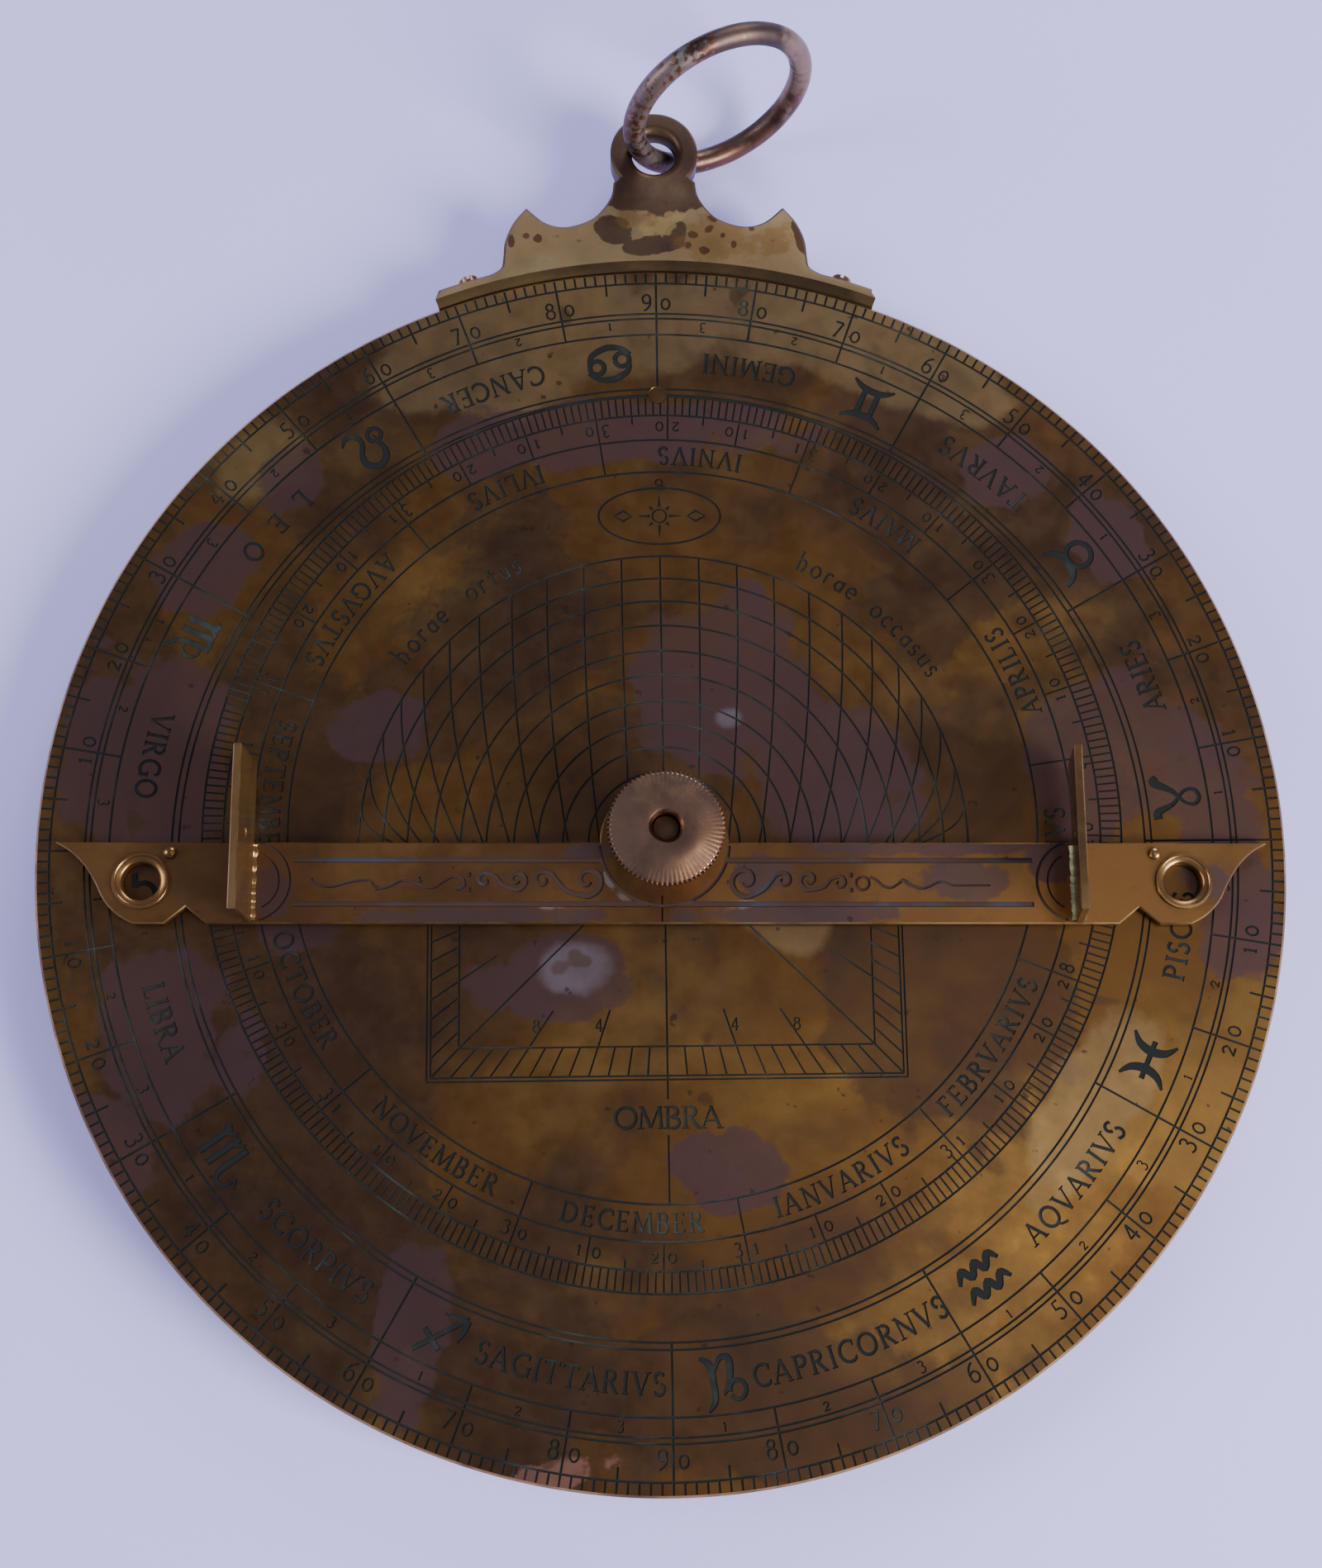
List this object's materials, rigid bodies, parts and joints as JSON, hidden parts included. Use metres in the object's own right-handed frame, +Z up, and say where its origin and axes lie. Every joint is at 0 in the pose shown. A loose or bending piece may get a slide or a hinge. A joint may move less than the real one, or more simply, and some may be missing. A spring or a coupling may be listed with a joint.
{
  "type": "astrolabe",
  "caption": "Round brass planispheric astrolabe with a sighting alidade, pierced star map, throne and hanging ring.",
  "frame": {"origin": "centre of the front pivot head's flat face, which rests on the table, on the pivot axis", "axes": "+Z up along the pivot axis, out of the engraved back; +Y from the pivot to the throne and ring; +X to the right seen from above"},
  "size_m": [0.2, 0.2368, 0.0348],
  "materials": {
    "tarnished_brass": "old brass with brown and purple tarnish",
    "golden_brass": "warm worn brass, fine scratches",
    "polished_copper_brass": "pink polished brass",
    "ring_bronze": "copper brown wire with grey wear"
  },
  "bodies": {
    "mater": {"back_plate": "tarnished_brass", "limb_ring": "tarnished_brass", "tympan_back": "tarnished_brass", "tympan_front": "tarnished_brass", "tympan_stop_pin": "golden_brass", "throne": "tarnished_brass", "throne_screw_left": "golden_brass", "throne_screw_right": "golden_brass", "pivot_bolt": "golden_brass", "front_washer": "golden_brass"},
    "alidade": {"alidade_bar": "golden_brass", "alidade_eyelet_left": "golden_brass", "alidade_eyelet_right": "golden_brass", "alidade_rivet_left": "golden_brass", "alidade_rivet_right": "golden_brass", "sight_vane_left": "golden_brass", "sight_vane_right": "golden_brass"},
    "rete": {"rete": "golden_brass"},
    "front_rule": {"front_rule": "golden_brass"},
    "knurled_nut": {"knurled_nut": "polished_copper_brass"},
    "suspension_ring": {"suspension_ring": "ring_bronze"}
  },
  "joints": [
    {"name": "alidade_turn", "type": "hinge", "parent": "mater", "child": "alidade", "pos_m": [0, 0, 0.0124], "axis": [0, 0, 1], "continuous": true},
    {"name": "nut_turn", "type": "hinge", "parent": "mater", "child": "knurled_nut", "pos_m": [0, 0, 0.018], "axis": [0, 0, 1], "continuous": true},
    {"name": "rete_turn", "type": "hinge", "parent": "mater", "child": "rete", "pos_m": [0, 0, 0.006], "axis": [0, 0, 1], "continuous": true},
    {"name": "rule_turn", "type": "hinge", "parent": "mater", "child": "front_rule", "pos_m": [0, 0, 0.0045], "axis": [0, 0, 1], "continuous": true},
    {"name": "ring_swing", "type": "hinge", "parent": "mater", "child": "suspension_ring", "pos_m": [0, 0.1222, 0.0092], "axis": [0, 0, 1], "range_deg": [-30, 150]}
  ]
}
